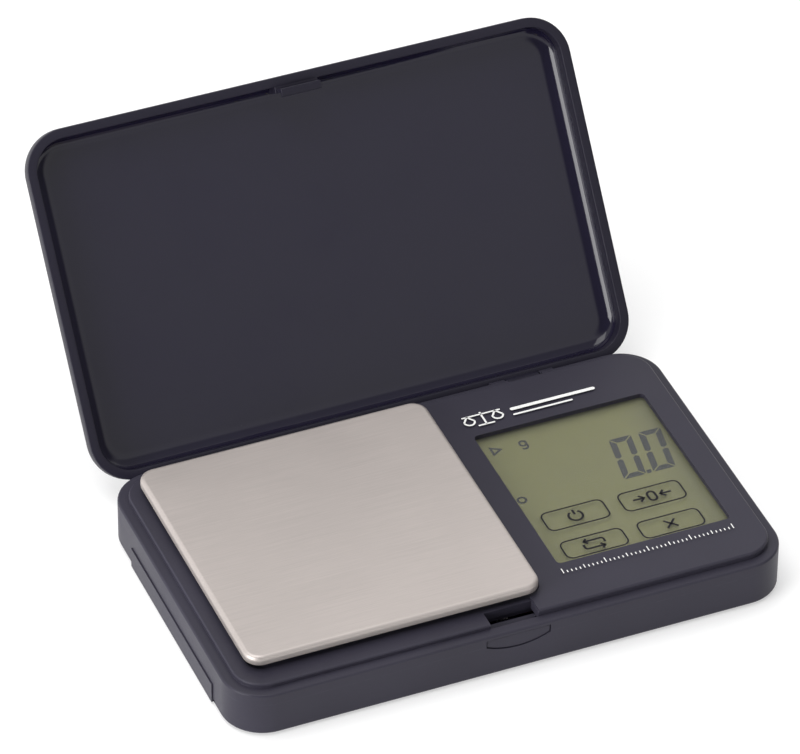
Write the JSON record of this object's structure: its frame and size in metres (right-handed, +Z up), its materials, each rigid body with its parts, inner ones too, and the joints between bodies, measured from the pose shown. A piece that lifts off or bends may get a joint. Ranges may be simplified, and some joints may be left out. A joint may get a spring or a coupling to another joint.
{
  "type": "digital gram scale",
  "caption": "Folding pocket gram scale with a hinged deep lid, square stainless weighing tray, touch display window, push-button latch and sliding battery door.",
  "frame": {"origin": "centre of the case's underside, 0.5 mm above the surface that the rubber feet stand on", "axes": "+X to the right along the case's width, +Y to the back where the hinge is, +Z up"},
  "size_m": [0.1263, 0.1292, 0.069],
  "materials": {
    "case_plastic": "fine moulded texture, matt charcoal",
    "lid_plastic": "polished inside, fine matt outside, charcoal",
    "brushed_tray": "stainless sheet brushed along X",
    "clear_window": "clear touch window",
    "clear_film": "clear key film",
    "lcd_cell": "grey-green liquid-crystal cell",
    "reflector": "satin reflector sheet",
    "inner_plastic": "black moulded plastic",
    "elastomer": "layered conducting elastomer",
    "board": "green solder mask on glass laminate",
    "chip_plastic": "black moulding compound",
    "screw_steel": "zinc-plated steel",
    "pin_steel": "ground steel pin",
    "nickel_steel": "nickel-plated spring steel",
    "beam_aluminium": "milled aluminium",
    "gauge_foil": "foil gauge on an amber film",
    "carrier_plastic": "off-white moulded plastic",
    "cell_can": "sleeved steel can with a bare steel end",
    "red_wire": "insulated wire",
    "blue_wire": "insulated wire",
    "foot_rubber": "matt black rubber"
  },
  "bodies": {
    "case": {"bottom_case": "case_plastic", "top_cover": "case_plastic", "display_lens": "clear_window", "touch_film": "clear_film", "lcd_glass": "lcd_cell", "lcd_reflector": "reflector", "lcd_frame": "inner_plastic", "zebra_strips": "elastomer", "main_pcb": "board", "circuit_components": "chip_plastic", "pcb_screws": "screw_steel", "load_cell": "beam_aluminium", "strain_gauges": "gauge_foil", "load_cell_screws": "screw_steel", "overload_screw": "screw_steel", "aaa_cell_front_pole": "cell_can", "aaa_cell_back_pole": "cell_can", "battery_springs": "nickel_steel", "battery_contacts": "nickel_steel", "battery_wires": "red_wire", "load_cell_wires": "blue_wire", "hinge_pins": "pin_steel", "latch_spring": "nickel_steel", "case_screws": "screw_steel", "rubber_feet": "foot_rubber"},
    "platform": {"tray_carrier": "carrier_plastic", "carrier_screws": "screw_steel", "weighing_tray": "brushed_tray"},
    "lid": {"lid": "lid_plastic"},
    "latch_button": {"latch_button": "case_plastic"},
    "battery_door": {"battery_door": "case_plastic"}
  },
  "joints": [
    {"name": "lid_hinge", "type": "hinge", "parent": "case", "child": "lid", "pos_m": [0, 0.039, 0.0076], "axis": [1, 0, 0], "range_deg": [0, 126]},
    {"name": "platform_load", "type": "slide", "parent": "case", "child": "platform", "axis": [0, 0, 1], "range_m": [-0.0004, 0], "stiffness_N_per_m": 15000, "deforming": ["load_cell"]},
    {"name": "latch_press", "type": "slide", "parent": "case", "child": "latch_button", "axis": [0, 1, 0], "range_m": [0, 0.001], "stiffness_N_per_m": 600, "deforming": ["latch_spring"]},
    {"name": "battery_door_slide", "type": "slide", "parent": "case", "child": "battery_door", "axis": [-1, 0, 0], "range_m": [0, 0.027]}
  ]
}
